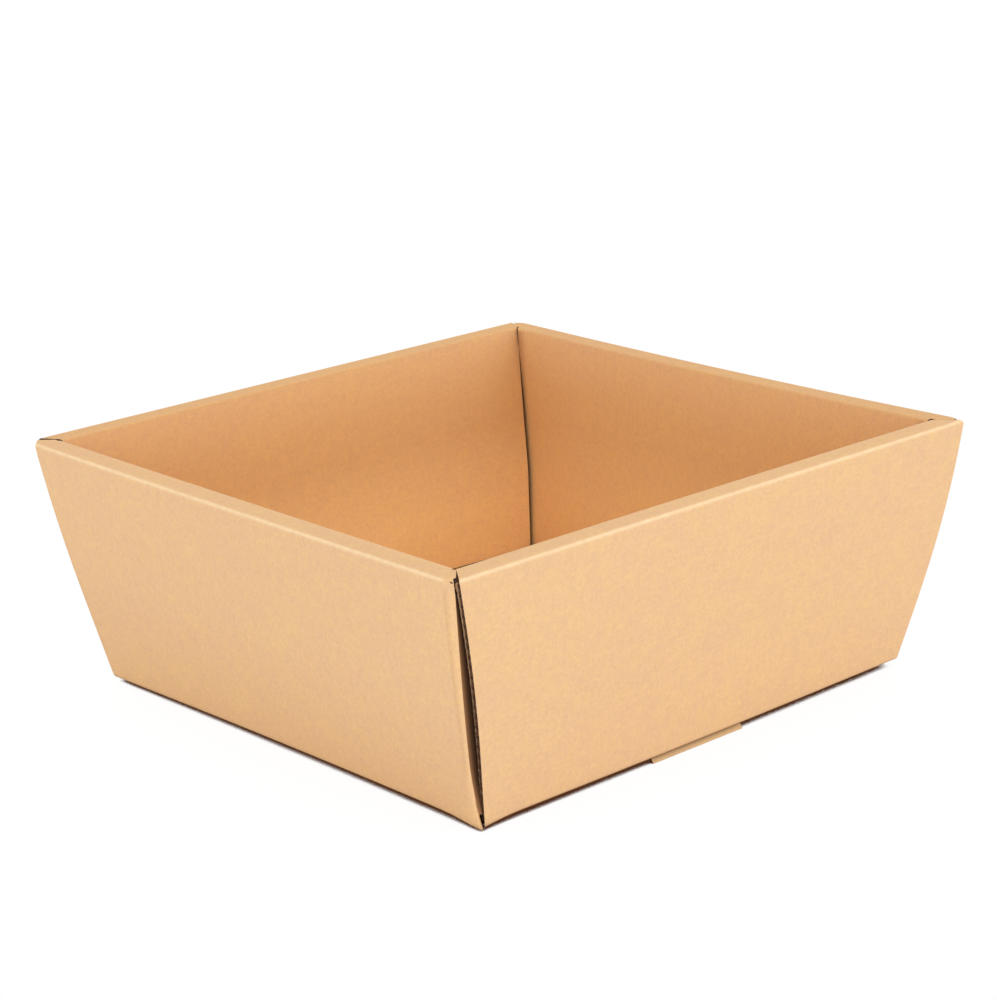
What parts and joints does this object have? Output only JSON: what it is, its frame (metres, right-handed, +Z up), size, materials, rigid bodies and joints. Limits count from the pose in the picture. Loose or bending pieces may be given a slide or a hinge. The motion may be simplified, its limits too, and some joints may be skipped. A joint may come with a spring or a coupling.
{
  "type": "cardboard tray box",
  "caption": "Open square tray box of corrugated card with flared double walls and flat rolled rims, folded from one sheet and locked by tabs in its floor.",
  "frame": {"origin": "middle of the tray in plan, at the level of the ends of the two locking tabs that it stands on", "axes": "+Z up through the open top, +X along the front wall that has a locking tab, +Y from the front wall to the back wall"},
  "size_m": [0.2096, 0.2096, 0.082],
  "materials": {
    "kraft_board": "matte brown kraft paper over a fluted middle layer"
  },
  "bodies": {
    "root": {"folded_tray": "kraft_board"}
  },
  "joints": []
}
